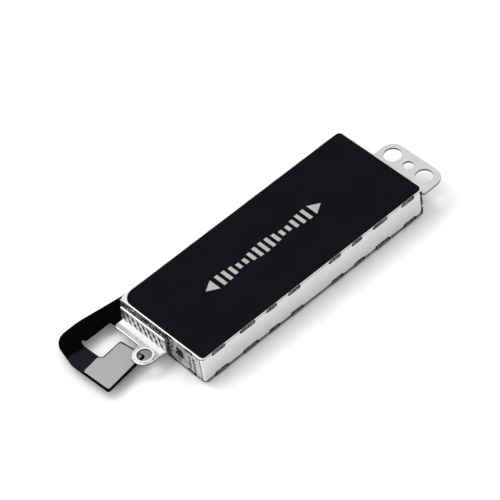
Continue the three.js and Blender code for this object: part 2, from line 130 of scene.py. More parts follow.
# ---------------------------------------------------------------- materials
class Finish:
    """A Principled material, with short calls for the texture nodes that shape it.

    Scales are per millimetre.
    """

    def __init__(self, name, color, metallic, roughness, **sockets):
        self.material = bpy.data.materials.new(name)
        self.material.use_nodes = True
        self.tree = self.material.node_tree
        self.shader = self.tree.nodes["Principled BSDF"]
        self.set("Base Color", (*color, 1))
        self.set("Metallic", metallic)
        self.set("Roughness", roughness)
        for socket, value in sockets.items():
            self.set(socket.replace("_", " "), value)
        coordinates = self.node("ShaderNodeTexCoord")
        scale = self.node("ShaderNodeMapping")
        scale.inputs["Scale"].default_value = (1 / MM, 1 / MM, 1 / MM)
        self.link(coordinates.outputs["Object"], scale.inputs["Vector"])
        self.place = scale.outputs["Vector"]

    def set(self, socket, value):
        self.shader.inputs[socket].default_value = value

    def node(self, kind):
        return self.tree.nodes.new(kind)

    def link(self, source, target):
        self.tree.links.new(source, target)

    def stretch(self, x, y, z):
        """The millimetre coordinates, stretched: a small number draws the texture out along that axis."""
        mapping = self.node("ShaderNodeMapping")
        mapping.inputs["Scale"].default_value = (x, y, z)
        self.link(self.place, mapping.inputs["Vector"])
        return mapping.outputs["Vector"]

    def noise(self, scale, detail=3.0, rough=0.5, at=None):
        texture = self.node("ShaderNodeTexNoise")
        texture.inputs["Scale"].default_value = scale
        texture.inputs["Detail"].default_value = detail
        texture.inputs["Roughness"].default_value = rough
        self.link(at or self.place, texture.inputs["Vector"])
        return texture.outputs["Fac"]

    def cells(self, scale, at=None):
        texture = self.node("ShaderNodeTexVoronoi")
        texture.inputs["Scale"].default_value = scale
        self.link(at or self.place, texture.inputs["Vector"])
        return texture.outputs["Distance"]

    def ramp(self, value, low, high, start=0.3, end=0.7):
        """A smooth change from the low to the high colour or number as value goes from start to end."""
        is_number = not isinstance(low, tuple)
        node = self.node("ShaderNodeMapRange" if is_number else "ShaderNodeValToRGB")
        if is_number:
            node.inputs["From Min"].default_value, node.inputs["From Max"].default_value = start, end
            node.inputs["To Min"].default_value, node.inputs["To Max"].default_value = low, high
            self.link(value, node.inputs["Value"])
            return node.outputs["Result"]
        first, last = node.color_ramp.elements
        first.position, first.color = start, (*low, 1)
        last.position, last.color = end, (*high, 1)
        self.link(value, node.inputs["Fac"])
        return node.outputs["Color"]

    def math(self, operation, first, second):
        node = self.node("ShaderNodeMath")
        node.operation = operation
        for socket, value in zip(node.inputs, (first, second)):
            if isinstance(value, (int, float)):
                socket.default_value = value
            else:
                self.link(value, socket)
        return node.outputs["Value"]

    def mix(self, factor, first, second, blend="MIX"):
        """Mixes two colours. Each is a colour tuple or a socket."""
        node = self.node("ShaderNodeMix")
        node.data_type = "RGBA"
        node.blend_type = blend
        sockets = {socket.identifier: socket for socket in node.inputs}
        for key, value in (("Factor_Float", factor), ("A_Color", first), ("B_Color", second)):
            if isinstance(value, (int, float)):
                sockets[key].default_value = value
            elif isinstance(value, tuple):
                sockets[key].default_value = (*value, 1)
            else:
                self.link(value, sockets[key])
        return next(socket for socket in node.outputs if socket.identifier == "Result_Color")

    def axis(self, name):
        """One of the three millimetre coordinates."""
        node = self.node("ShaderNodeSeparateXYZ")
        self.link(self.place, node.inputs["Vector"])
        return node.outputs[name]

    def use(self, socket, value):
        self.link(value, self.shader.inputs[socket])
        return self

    def bump(self, *heights):
        """Each height is (socket, depth in millimetres)."""
        normal = None
        for height, depth in heights:
            node = self.node("ShaderNodeBump")
            node.inputs["Distance"].default_value = depth * MM
            self.link(height, node.inputs["Height"])
            if normal is not None:
                self.link(normal, node.inputs["Normal"])
            normal = node.outputs["Normal"]
        self.link(normal, self.shader.inputs["Normal"])
        return self


def rolled_steel(name, color, roughness, grain=(0.5, 6, 6), blotch=0.12):
    """Bright sheet steel: fine rolling lines, cloudy tone and faint smudges."""
    finish = Finish(name, color, 1.0, roughness)
    lines = finish.noise(3.0, 4, 0.6, finish.stretch(*grain))
    clouds = finish.noise(0.7, 4, 0.55)
    dark = tuple(channel * (1 - blotch) for channel in color)
    tone = finish.ramp(clouds, dark, color, 0.35, 0.6)
    fine = finish.ramp(lines, tuple(channel * 0.94 for channel in color), color, 0.35, 0.65)
    finish.use("Base Color", finish.mix(0.5, tone, fine))
    finish.use("Roughness", finish.ramp(finish.noise(1.6, 5, 0.6), roughness - 0.07, roughness + 0.09))
    return finish.bump((lines, 0.0025), (finish.noise(14, 3), 0.0015))


def sheared_edge_and_shade():
    """The cut edge of stamped sheet: a bright shear band that tears into a dark rough one, painted darker
    than the sheet as shade on the narrow side faces.
    """
    finish = Finish("sheared_edge_and_shade", (0.12, 0.12, 0.125), 1.0, 0.5)
    tear = finish.noise(4, 4, 0.6, finish.stretch(1.5, 1.5, 0.4))
    # dark colours: partly the rough cut, partly painted shade on the narrow faces
    finish.use("Base Color", finish.ramp(tear, (0.045, 0.045, 0.047), (0.22, 0.22, 0.225), 0.35, 0.65))
    finish.use("Roughness", finish.ramp(tear, 0.62, 0.4))
    return finish.bump((tear, 0.02))


# Two rows of spot welds on the eyelet bracket's upright; the upper row is shifted along +Y.
SPOTS = {"rows": (2.0, 2.66), "first": -0.6, "pitch": 0.77, "count": 8, "shift": 0.2}


def heat_streaks():
    """The bracket's upright: dark oxide down each column of spot welds, bright streaks between them."""
    finish = Finish("heat_streaks", (0.2, 0.2, 0.2), 1.0, 0.42)
    slant = SPOTS["shift"] / (SPOTS["rows"][1] - SPOTS["rows"][0])
    along = finish.math("SUBTRACT", finish.axis("Y"), finish.math("MULTIPLY", finish.axis("Z"), slant))
    from_column = finish.math("SUBTRACT", along, SPOTS["first"] - slant * SPOTS["rows"][0])
    wave = finish.math("COSINE", finish.math("MULTIPLY", from_column, math.tau / SPOTS["pitch"]), 0)
    patches = finish.noise(2.6, 4, 0.65)
    uneven = finish.math("ADD", wave, finish.math("MULTIPLY", finish.math("SUBTRACT", patches, 0.5), 5.0))
    specks = finish.noise(9, 4, 0.7)
    darkness = finish.ramp(uneven, 0.0, 1.0, -0.5, 0.9)
    tone = finish.mix(darkness, (0.62, 0.62, 0.62), (0.15, 0.147, 0.143))
    finish.use("Base Color", finish.mix(0.2, tone, finish.ramp(specks, (0.1, 0.1, 0.1), (0.8, 0.8, 0.8))))
    finish.use("Roughness", finish.ramp(specks, 0.55, 0.32))
    return finish.bump((patches, 0.015), (specks, 0.006))


def oxide_and_shade_band():
    """Burnt steel between the bracket and the wall, nearly black, with bright specks left: partly heat tint,
    partly painted shade of the narrow gaps it lies in.
    """
    finish = Finish("oxide_and_shade_band", (0.04, 0.038, 0.036), 1.0, 0.5)
    specks = finish.noise(6, 4, 0.75)
    finish.use("Base Color", finish.ramp(specks, (0.012, 0.011, 0.011), (0.45, 0.44, 0.42), 0.5, 0.66))
    finish.use("Roughness", finish.ramp(specks, 0.6, 0.35))
    return finish.bump((specks, 0.03))


def end_steel():
    """The end wall's steel, mottled and stained by welding and cleaning."""
    finish = rolled_steel("end_steel", (0.46, 0.455, 0.45), 0.34, (6, 2, 6), 0.3)
    stains = finish.noise(1.5, 5, 0.7)
    specks = finish.noise(7, 4, 0.75)
    grey = finish.ramp(stains, (0.24, 0.236, 0.232), (0.62, 0.615, 0.61), 0.36, 0.54)
    dark = finish.ramp(specks, (0.05, 0.048, 0.045), (1.0, 1.0, 1.0), 0.32, 0.40)
    finish.use("Base Color", finish.mix(1.0, grey, dark, "MULTIPLY"))
    return finish


def stamped_steel(name, color):
    """Tumbled stamped steel: mottled and pitted, with a painted highlight that lightens it near the fold and
    painted shade that darkens it towards the far end.
    """
    finish = Finish(name, color, 0.9, 0.46)
    mottle = finish.noise(2.4, 5, 0.65)
    pits = finish.cells(5.5)
    dark = tuple(channel * 0.4 for channel in color)
    tone = finish.ramp(mottle, dark, color, 0.40, 0.50)
    spots = finish.ramp(pits, tuple(channel * 0.8 for channel in color), color, 0.06, 0.2)
    # painted highlight: a lighter strip along the fold, where the bend catches the light
    fold_highlight = finish.ramp(finish.axis("X"), 0.0, 1.0, -16.3, -16.05)
    bright = tuple(min(1.0, channel * 1.5) for channel in color)
    # painted shade: the flange darkens towards its far end
    far_end_shade = finish.ramp(finish.axis("Y"), 0.0, 0.6, 2.6, 5.2)
    face = finish.mix(far_end_shade, finish.mix(0.3, tone, spots), dark)
    finish.use("Base Color", finish.mix(fold_highlight, face, bright))
    finish.use("Roughness", finish.ramp(mottle, 0.6, 0.42))
    return finish.bump((mottle, 0.012), (finish.noise(12, 4), 0.003))


def weld_metal():
    """Laser weld: grey steel browned and blued by heat, with ripples, and painted shade that darkens the
    welds towards the bottom of the casing.
    """
    finish = Finish("weld_metal", (0.2, 0.19, 0.18), 1.0, 0.42)
    patches = finish.noise(3.5, 4, 0.6)
    heat = finish.ramp(patches, (0.02, 0.019, 0.018), (0.40, 0.39, 0.375), 0.40, 0.60)
    blue = finish.ramp(finish.noise(2.2, 2), (0.13, 0.11, 0.09), (0.10, 0.12, 0.16), 0.45, 0.62)
    # painted shade: the welds get darker towards the bottom of the casing
    height = finish.ramp(finish.axis("Z"), 0.45, 1.0, 0.6, 2.9)
    tone = finish.mix(0.3, heat, blue)
    shade = finish.mix(height, (0.55, 0.55, 0.55), (0.8, 0.8, 0.8))
    finish.use("Base Color", finish.mix(1.0, tone, shade, "MULTIPLY"))
    finish.use("Roughness", finish.ramp(patches, 0.55, 0.3))
    return finish.bump((finish.noise(9, 3), 0.01))


def label_film():
    finish = Finish("label_film", (0.0035, 0.0035, 0.0045), 0.0, 0.42, Specular_IOR_Level=0.02)
    peel = finish.noise(5, 3, 0.5)
    clouds = finish.noise(0.35, 3)
    finish.use("Base Color", finish.ramp(clouds, (0.0030, 0.0030, 0.0045), (0.0048, 0.0048, 0.0064)))
    finish.use("Roughness", finish.ramp(finish.noise(1.1, 5, 0.6), 0.36, 0.5))
    return finish.bump((peel, 0.002), (finish.noise(30, 2), 0.0008))


def print_ink():
    finish = Finish("print_ink", (0.36, 0.36, 0.37), 0.0, 0.5, Specular_IOR_Level=0.3)
    grain = finish.noise(9, 4, 0.7)
    finish.use("Base Color", finish.ramp(grain, (0.26, 0.26, 0.27), (0.40, 0.40, 0.41), 0.3, 0.55))
    return finish.bump((grain, 0.002))


def flex_film():
    """Black polyimide: a dead matte cover film that ends across the neck, where the base film is glossier and
    is painted lighter as a painted sheen of the neck's bend.
    """
    finish = Finish("flex_film", (0.0008, 0.0008, 0.001), 0.0, 0.62, Specular_IOR_Level=0.01)
    across_neck = finish.math("ADD", finish.axis("Y"), finish.math("MULTIPLY", finish.axis("X"), 0.17))
    on_neck = finish.math("MULTIPLY", finish.ramp(across_neck, 1.0, 0.0, 2.0, 2.35),
                          finish.ramp(finish.axis("Y"), 0.0, 1.0, 3.35, 3.45))
    film = finish.noise(3.0, 4)
    # lighter colour on the neck: painted sheen of the bend, over the glossier base film
    bare_film_and_sheen = finish.ramp(film, (0.0075, 0.0078, 0.0098), (0.0125, 0.0128, 0.016))
    covered = finish.ramp(film, (0.0004, 0.0004, 0.0005), (0.0011, 0.0011, 0.0013))
    finish.use("Base Color", finish.mix(on_neck, covered, bare_film_and_sheen))
    finish.use("Roughness", finish.math("SUBTRACT", 0.62, finish.math("MULTIPLY", on_neck, 0.25)))
    return finish.bump((film, 0.004), (finish.noise(22, 3), 0.001))


def stiffener_grey():
    finish = Finish("stiffener_grey", (0.33, 0.33, 0.333), 0.35, 0.6)
    grain = finish.noise(16, 5, 0.75)
    finish.use("Base Color", finish.ramp(grain, (0.29, 0.29, 0.293), (0.37, 0.37, 0.373), 0.3, 0.7))
    finish.use("Roughness", finish.ramp(finish.noise(1.2, 4), 0.55, 0.66))
    return finish.bump((grain, 0.003))


def moulded(name, color, roughness=0.5, shine=0.35):
    """Moulded plastic or rubber with a fine eroded texture."""
    finish = Finish(name, color, 0.0, roughness, Specular_IOR_Level=shine)
    grain = finish.noise(20, 4, 0.6)
    finish.use("Base Color", finish.ramp(finish.noise(1.8, 3), tuple(c * 0.8 for c in color),
                                         tuple(c * 1.25 for c in color)))
    finish.use("Roughness", finish.ramp(grain, roughness - 0.06, roughness + 0.08))
    return finish.bump((grain, 0.003))


def amber_resin():
    finish = Finish("amber_resin", (0.10, 0.05, 0.03), 0.0, 0.4, Specular_IOR_Level=0.12)
    swirl = finish.noise(1.3, 4, 0.6)
    finish.use("Base Color", finish.ramp(swirl, (0.004, 0.003, 0.003), (0.12, 0.07, 0.045), 0.54, 0.66))
    return finish.bump((finish.noise(4, 3), 0.02))


def residue():
    """Grey flux and adhesive residue with metal showing through."""
    finish = Finish("weld_residue", (0.45, 0.43, 0.40), 0.6, 0.4)
    patches = finish.noise(4.0, 5, 0.7)
    finish.use("Base Color", finish.ramp(patches, (0.012, 0.011, 0.01), (0.55, 0.53, 0.50), 0.44, 0.58))
    finish.use("Metallic", finish.ramp(patches, 0.2, 0.8))
    return finish.bump((patches, 0.03), (finish.noise(14, 3), 0.006))


def copper_wire():
    finish = Finish("copper_wire", (0.62, 0.26, 0.10), 1.0, 0.3, Coat_Weight=0.4)
    tone = finish.noise(2.5, 3)
    finish.use("Base Color", finish.ramp(tone, (0.48, 0.18, 0.06), (0.72, 0.33, 0.14)))
    finish.use("Roughness", finish.ramp(finish.noise(9, 3), 0.22, 0.4))
    return finish.bump((finish.noise(12, 2), 0.002))


def sintered(name, color, metallic=1.0, roughness=0.45):
    """Pressed and sintered metal or ceramic with an open grain."""
    finish = Finish(name, color, metallic, roughness)
    grain = finish.noise(9, 5, 0.7)
    darker = tuple(channel * 0.75 for channel in color)
    lighter = tuple(channel * 1.15 for channel in color)
    finish.use("Base Color", finish.ramp(grain, darker, lighter))
    finish.use("Roughness", finish.ramp(finish.noise(2, 4), roughness - 0.08, roughness + 0.12))
    return finish.bump((grain, 0.008), (finish.cells(7), 0.004))


def plated(name, color, roughness=0.2):
    """Thin bright plating with a slight orange peel."""
    finish = Finish(name, color, 1.0, roughness)
    peel = finish.noise(3.5, 4)
    finish.use("Base Color", finish.ramp(peel, tuple(c * 0.88 for c in color), color))
    finish.use("Roughness", finish.ramp(finish.noise(6, 4), roughness - 0.05, roughness + 0.1))
    return finish.bump((peel, 0.005))


FINISHES = {
    "casing_steel": rolled_steel("casing_steel", (0.74, 0.74, 0.743), 0.30, blotch=0.05),
    "end_steel": end_steel(),
    "bracket_steel": stamped_steel("bracket_steel", (0.56, 0.56, 0.565)),
    "tab_steel": rolled_steel("tab_steel", (0.55, 0.55, 0.553), 0.46, (6, 1.5, 6), 0.06),
    "sheared_edge_and_shade": sheared_edge_and_shade(),
    "heat_streaks": heat_streaks(),
    "oxide_and_shade_band": oxide_and_shade_band(),
    "spring_steel": rolled_steel("spring_steel", (0.50, 0.505, 0.52), 0.25, (2, 2, 12)),
    "label_film": label_film(),
    "print_ink": print_ink(),
    "weld": weld_metal(),
    "residue": residue(),
    # black matte for marks, pits and weld rings, and for the seam strips that paint shadow
    "black_mark_and_shade": moulded("black_marks_and_shade", (0.006, 0.0058, 0.0056), 0.7, shine=0.04),
    "resin": amber_resin(),
    "flex_film": flex_film(),
    "stiffener": stiffener_grey(),
    "connector_plastic": moulded("connector_plastic", (0.02, 0.02, 0.022)),
    "gold": plated("gold_plating", (0.80, 0.55, 0.22)),
    "solder": plated("solder", (0.66, 0.66, 0.67), 0.28),
    "burnished_highlight_steel": plated("burnished_highlight_steel", (0.84, 0.84, 0.845), 0.3),
    "coil_wire": copper_wire(),
    "chip_plastic": moulded("chip_plastic", (0.022, 0.022, 0.024), 0.45),
    "capacitor_ceramic": sintered("capacitor_ceramic", (0.40, 0.30, 0.18), 0.0),
    "tungsten": sintered("tungsten", (0.24, 0.24, 0.255)),
    "magnet": plated("magnet_nickel", (0.62, 0.62, 0.64)),
    "back_iron": rolled_steel("back_iron_zinc", (0.52, 0.53, 0.54), 0.36),
    "bumper_rubber": moulded("bumper_rubber", (0.025, 0.025, 0.027), 0.75),
}


# ---------------------------------------------------------------- making pieces
def sharpen(bm, angle):
    """Smooth shading, with edges sharper than angle kept crisp."""
    limit = math.radians(angle)
    for face in bm.faces:
        face.smooth = True
    for edge in bm.edges:
        edge.smooth = len(edge.link_faces) == 2 and edge.calc_face_angle(0) < limit


def flatten_shading(made):
    """Lets the large flat faces set the normals, so that only the narrow rounded edges look round."""
    modifier = made.modifiers.new("flat_faces", "WEIGHTED_NORMAL")
    modifier.keep_sharp = True
    modifier.weight = 100
    evaluated = made.evaluated_get(bpy.context.evaluated_depsgraph_get())
    mesh = bpy.data.meshes.new_from_object(evaluated)
    made.modifiers.clear()
    made.data = mesh


def piece(name, bm, finish, body, replaces=(), crisp=38, patches=()):
    """Turns a millimetre bmesh into a piece that rides on a body.

    Each patch is (finish, test): the faces for which test(face) is true get that finish instead.
    """
    bmesh.ops.remove_doubles(bm, verts=bm.verts[:], dist=1e-5)
    bmesh.ops.recalc_face_normals(bm, faces=bm.faces[:])
    sharpen(bm, crisp)
    for index, (_, test) in enumerate(patches, 1):
        for face in bm.faces:
            if test(face):
                face.material_index = index
    bm.transform(Matrix.Scale(MM, 4))
    mesh = bpy.data.meshes.new(name)
    bm.to_mesh(mesh)
    bm.free()
    for look in (finish, *(patch[0] for patch in patches)):
        mesh.materials.append(FINISHES[look].material)
    made = bpy.data.objects.new(name, mesh)
    bpy.context.scene.collection.objects.link(made)
    flatten_shading(made)
    if body:
        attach(made, body)
    if replaces:
        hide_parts(*replaces)
    return made


def node_mesh(node):
    """A CAD node's mesh in millimetres, with its flat faces joined up again."""
    bm = bmesh.new()
    bm.from_mesh(frame["nodes"][node].data)
    bm.transform(Matrix.Scale(1 / MM, 4))
    bmesh.ops.remove_doubles(bm, verts=bm.verts[:], dist=1e-4)
    bmesh.ops.dissolve_limit(bm, angle_limit=math.radians(1.0), verts=bm.verts[:], edges=bm.edges[:])
    return bm


def soften(bm, radius, segments=3, above=32):
    """Rounds every edge sharper than an angle in degrees."""
    limit = math.radians(above)
    edges = [edge for edge in bm.edges if len(edge.link_faces) == 2 and edge.calc_face_angle(0) > limit]
    bmesh.ops.bevel(bm, geom=edges, offset=radius, offset_type="OFFSET", segments=segments, profile=0.5,
                    affect="EDGES", clamp_overlap=True)


def rounded_copy(node, radius, finish=None, segments=3, patches=(), prepare=None):
    """The CAD node again, with real rounded edges and a proper finish. prepare(bm) may shape it first."""
    bm = node_mesh(node)
    if prepare:
        prepare(bm)
    soften(bm, radius, segments)
    slot = NODE_SLOT[node]
    return piece(f"{node}_body", bm, finish or slot, NODE_BODY[node], [node], patches=patches)


def add_box(bm, low, high, turn=0.0):
    """A box between two corners, turned about its own middle in the XY plane."""
    middle = (Vector(low) + Vector(high)) / 2
    size = Vector(high) - Vector(low)
    place = Matrix.Translation(middle) @ Matrix.Rotation(turn, 4, "Z") @ Matrix.Diagonal((*size, 1))
    return bmesh.ops.create_cube(bm, size=1, matrix=place)["verts"]


def add_dome(bm, centre, radii, turn=None, detail=2):
    """A flattened ball."""
    place = Matrix.Translation(centre) @ (turn or Matrix.Identity(4)) @ Matrix.Diagonal((*radii, 1))
    return bmesh.ops.create_icosphere(bm, subdivisions=detail, radius=1, matrix=place)["verts"]


def add_sweep(bm, path, section, closed=False):
    """Sweeps a section, points as (sideways, up), along a flat path of 3-D points."""
    rings = []
    count = len(path)
    for index, point in enumerate(path):
        before = path[index - 1] if closed or index else path[0]
        after = path[(index + 1) % count] if closed or index < count - 1 else path[-1]
        along = (after - before).normalized()
        side = Vector((along.y, -along.x, 0)).normalized()
        rings.append([bm.verts.new(point + side * s + Vector((0, 0, 1)) * u) for s, u in section])
    spans = count if closed else count - 1
    for index in range(spans):
        ring, following = rings[index], rings[(index + 1) % count]
        for corner in range(len(section)):
            other = (corner + 1) % len(section)
            bm.faces.new((ring[corner], ring[other], following[other], following[corner]))
    if not closed:
        bm.faces.new(reversed(rings[0]))
        bm.faces.new(rings[-1])


def add_prism(bm, outline, z0, z1):
    """A flat outline of (x, y) points, made thick."""
    low = [bm.verts.new((x, y, z0)) for x, y in outline]
    high = [bm.verts.new((x, y, z1)) for x, y in outline]
    bm.faces.new(reversed(low))
    bm.faces.new(high)
    for index in range(len(outline)):
        other = (index + 1) % len(outline)
        bm.faces.new((low[index], low[other], high[other], high[index]))


def arc(centre, radius, start, end, steps):
    """Points along an arc in the XY plane; angles in degrees."""
    points = []
    for step in range(steps + 1):
        angle = math.radians(start + (end - start) * step / steps)
        x = centre[0] + radius * math.cos(angle)
        y = centre[1] + radius * math.sin(angle)
        points.append(Vector((x, y, centre[2])))
    return points


# ---------------------------------------------------------------- casing
def is_cut_edge(face):
    """Faces that stand upright on a flat stamping's outline and holes."""
    return abs(face.normal.z) < 0.4


def is_near_end(face):
    """Faces at an end wall's near end, which the corner's open seam shows."""
    return face.normal.y < -0.5 and face.calc_center_median().y < -5


def make_casing():
    rounded_copy("top_cover", 0.06)
    rounded_copy("bottom_cover", 0.05, patches=[("sheared_edge_and_shade", is_cut_edge)])
    rounded_copy("near_wall", 0.03)
    rounded_copy("far_wall", 0.03)
    rounded_copy("left_end_wall", 0.03, "end_steel")
    # the near end faces that the open seam shows are painted near black: heat tint and painted shade in the
    # seam
    rounded_copy("right_end_wall", 0.03, "end_steel", patches=[("oxide_and_shade_band", is_near_end)])
    rounded_copy("top_label", 0.02, segments=2)
    # the lap plate is painted near black: heat tint and painted shade between the bracket and the wall
    rounded_copy("bracket_lap_plate", 0.05, "oxide_and_shade_band")
    rounded_copy("two_hole_tab", 0.05, "tab_steel", patches=[("sheared_edge_and_shade", is_cut_edge)])
    make_eyelet_bracket()


BRACKET_THICK = 0.17
BRACKET_FLANGE_TOP = 1.42


def make_eyelet_bracket():
    _, high = box_mm("eyelet_bracket")
    outer = high.x - BRACKET_THICK

    def round_the_fold(bm):
        fold = [edge for edge in bm.edges if all(abs(v.co.x - outer) < 0.02 and
                                                 abs(v.co.z - BRACKET_FLANGE_TOP) < 0.02 for v in edge.verts)]
        bmesh.ops.bevel(bm, geom=fold, offset=0.12, offset_type="OFFSET", segments=5, profile=0.5,
                        affect="EDGES", clamp_overlap=True)

    def is_upright_face(face):
        middle = face.calc_center_median()
        return face.normal.x < -0.9 and middle.x > outer - 0.05 and middle.z > BRACKET_FLANGE_TOP + 0.2

    def is_flange_edge(face):
        return is_cut_edge(face) and face.calc_center_median().z < BRACKET_FLANGE_TOP and face.normal.x < 0.9

    # the eye's raised ring gets the lighter finish: painted highlight on its rim
    def is_eye_rim(face):
        middle = face.calc_center_median()
        return middle.x < outer - 0.4 and middle.z > BRACKET_FLANGE_TOP + 0.01

    rounded_copy("eyelet_bracket", 0.045, prepare=round_the_fold,
                 patches=[("sheared_edge_and_shade", is_flange_edge), ("heat_streaks", is_upright_face),
                          ("burnished_highlight_steel", is_eye_rim)])


LONG_TABS = ((2.75, 0.7), (5.8, 0.58), (9.0, 0.88), (12.85, 0.75))
END_TABS = ((1.25, 0.38), (4.05, 0.42))
WELD = {"top": 3.25, "bottom": 0.26, "half": (0.13, 0.20), "pitch": 0.13, "proud": 0.03}
SCORCH = {"grow": 0.12, "proud": 0.014}  # the black ring of oxide round each weld
# The right corner's upper spot is a bright dome standing in for the cover corner's glint, a painted
# highlight; the lower one is a weld.
CORNER_WELD_AND_GLINT_X = 14.78
CORNER_WELD_AND_GLINT_SPOTS = ((3.32, 0.13), (1.05, 0.17))  # the height and half height of the right corner's two spots


def weld_row(bm, start, end, half, proud, reach):
    """Overlapping laser spots along a seam, a little uneven in height."""
    length = (end - start).length
    count = max(3, round(length / WELD["pitch"]))
    along = (end - start).normalized()
    for index in range(count + 1):
        centre = start + along * (length * index / count)
        lift = 1 + 0.15 * noise.noise(centre * 3.1)
        radii = Vector((proud, proud, half * lift))
        radii[0 if abs(along.x) > 0.5 else 1] = reach
        add_dome(bm, centre, radii)


def weld_spans(z):
    """The two ends of every weld at a height: on both long sides, and where the end walls show them."""
    low, _ = box_mm("near_wall")
    for sign in (-1, 1):
        for distance, half in LONG_TABS:
            for y in (low.y, -low.y):
                reach = Vector((half - 0.1, 0, 0))
                middle = Vector((sign * distance, y, z))
                yield middle - reach, middle + reach
        for distance, half in END_TABS:
            for x in (low.x, -low.x):
                if x < 0 < sign:
                    continue  # the eyelet bracket covers these
                reach = Vector((0, half - 0.1, 0))
                middle = Vector((x, sign * distance, z))
                yield middle - reach, middle + reach


def keep_between_faces(bm):
    """Flattens what would stand past the casing's top or bottom face."""
    bottom, top = box_mm("bottom_cover")[0].z, box_mm("top_cover")[1].z
    for vert in bm.verts:
        vert.co.z = min(max(vert.co.z, bottom + 0.01), top - 0.01)


def make_welds():
    scorch = bmesh.new()
    grow = SCORCH["grow"]
    for edge, half in zip(("top", "bottom"), WELD["half"]):
        bm = bmesh.new()
        for start, end in weld_spans(WELD[edge]):
            weld_row(bm, start, end, half, WELD["proud"], WELD["pitch"] * 0.85)
            weld_row(scorch, start, end, half + grow, SCORCH["proud"], WELD["pitch"] + grow)
        keep_between_faces(bm)
        piece(f"weld_spots_{edge}", bm, "weld", "casing")
    keep_between_faces(scorch)
    piece("weld_scorch", scorch, "black_mark_and_shade", "casing")
    low, _ = box_mm("near_wall")
    # a weld low down and, at the top, a bright dome that paints the corner's glint
    corner = bmesh.new()
    for z, half_height in CORNER_WELD_AND_GLINT_SPOTS:
        add_dome(corner, Vector((CORNER_WELD_AND_GLINT_X, low.y + 0.06, z)), (0.16, 0.055, half_height))
    piece("corner_weld_and_glint_spots", corner, "solder", "casing")


# The seam strips are painted shadow: black bands where the seams lie in shade.
SEAM_SHADOW = {"bottom": 0.19, "below_top": 0.2}  # heights above the casing's underside and below its top


def make_seam_shadow_strips():
    """Black strips in the seams between the covers and the walls: painted shadow in the seam gaps."""
    wall_low, wall_high = box_mm("near_wall")
    seam_top = box_mm("top_cover")[1].z - SEAM_SHADOW["below_top"]
    lower = (SEAM_SHADOW["bottom"], wall_low.z + 0.01, 0.03)
    upper = (wall_high.z - 0.01, seam_top + 0.005, 0.02)
    seams = bmesh.new()
    for z0, z1, inset in (lower, upper):
        half_x, half_y = -wall_low.x - inset - 0.1, -wall_low.y - inset - 0.1
        path = racetrack(0, half_x, half_y, 0.3, (z0 + z1) / 2, 4)
        reach = (z1 - z0) / 2
        section = [(-0.1, -reach), (0.09, -reach), (0.1, 0), (0.09, reach), (-0.1, reach)]
        add_sweep(seams, path, section, closed=True)
    piece("seam_shadow_strips", seams, "black_mark_and_shade", "casing")


# ---------------------------------------------------------------- printed mark
MARK = {"left": -8.8, "right": 6.8, "near": -0.6, "far": 0.95, "thick": 0.012, "bar": 0.42}


def make_mark():
    """A double arrow with graduated bars: the axis along which the part vibrates."""
    bm = bmesh.new()
    _, top = box_mm("top_label")
    z0, z1 = top.z - 0.004, top.z + MARK["thick"]
    middle_y = (MARK["near"] + MARK["far"]) / 2
    full = MARK["far"] - MARK["near"]
    head = 1.25
    for tip, inner in ((MARK["left"], MARK["left"] + head), (MARK["right"], MARK["right"] - head)):
        corners = [(tip, middle_y), (inner, middle_y - full / 2), (inner, middle_y + full / 2)]
        if tip > inner:
            corners.reverse()
        add_prism(bm, corners, z0, z1)
    bars = 15
    first, last = MARK["left"] + head + 0.75, MARK["right"] - head - 0.75
    for index in range(bars):
        share = index / (bars - 1)
        x = first + (last - first) * share
        reach = full / 2 * (0.35 + 0.65 * abs(math.cos(share * math.pi * 2)))
        half = MARK["bar"] / 2
        add_prism(bm, [(x - half, middle_y - reach), (x + half, middle_y - reach),
                       (x + half, middle_y + reach), (x - half, middle_y + reach)], z0, z1)
    soften(bm, 0.004, 1, 60)
    piece("vibration_axis_mark", bm, "print_ink", "casing")


# ---------------------------------------------------------------- left end details
END_MARKS = {"y": (-4.62, -3.98), "z": 0.50, "rows": 5, "pitch": 0.47}
WASH_HOLES = ((-1.45, 0.28, 0.5, 0.24), (-3.95, 0.12, 0.36, 0.12))  # y, z and half sizes, at the wall's foot


def make_end_marks():
    """A plain grid of deep laser dimples and two wash holes on the end wall."""
    low, _ = box_mm("left_end_wall")
    bm = bmesh.new()
    for column, y in enumerate(END_MARKS["y"]):
        for row in range(END_MARKS["rows"]):
            z = END_MARKS["z"] + END_MARKS["pitch"] * row
            wide = 0.27 if (row + column) % 2 else 0.22
            turn = Matrix.Rotation(math.radians(20), 4, "X")
            add_dome(bm, Vector((low.x, y, z)), (0.02, wide, 0.14), turn)
    for y, z, half_y, half_z in WASH_HOLES:
        add_dome(bm, Vector((low.x, y, z)), (0.02, half_y, half_z))
    piece("end_wall_dimples", bm, "black_mark_and_shade", "casing")


def make_spot_welds():
    """Two rows of burnt spots where the eyelet bracket's upright is welded to the wall."""
    face = box_mm("eyelet_bracket")[1].x - BRACKET_THICK
    pits = bmesh.new()
    for row, z in enumerate(SPOTS["rows"]):
        for column in range(SPOTS["count"]):
            centre = Vector((face, SPOTS["first"] + SPOTS["pitch"] * column + SPOTS["shift"] * row, z))
            add_dome(pits, centre, (0.03, 0.19, 0.21))
    piece("spot_weld_pits", pits, "black_mark_and_shade", "casing")


COINED = {"inset": 0.1, "corner": 0.35}
BRACKET_FREE_EDGE_X = -16.78
EYE = {"y": 0.2, "radius": 1.23}  # the flange's round end, outside


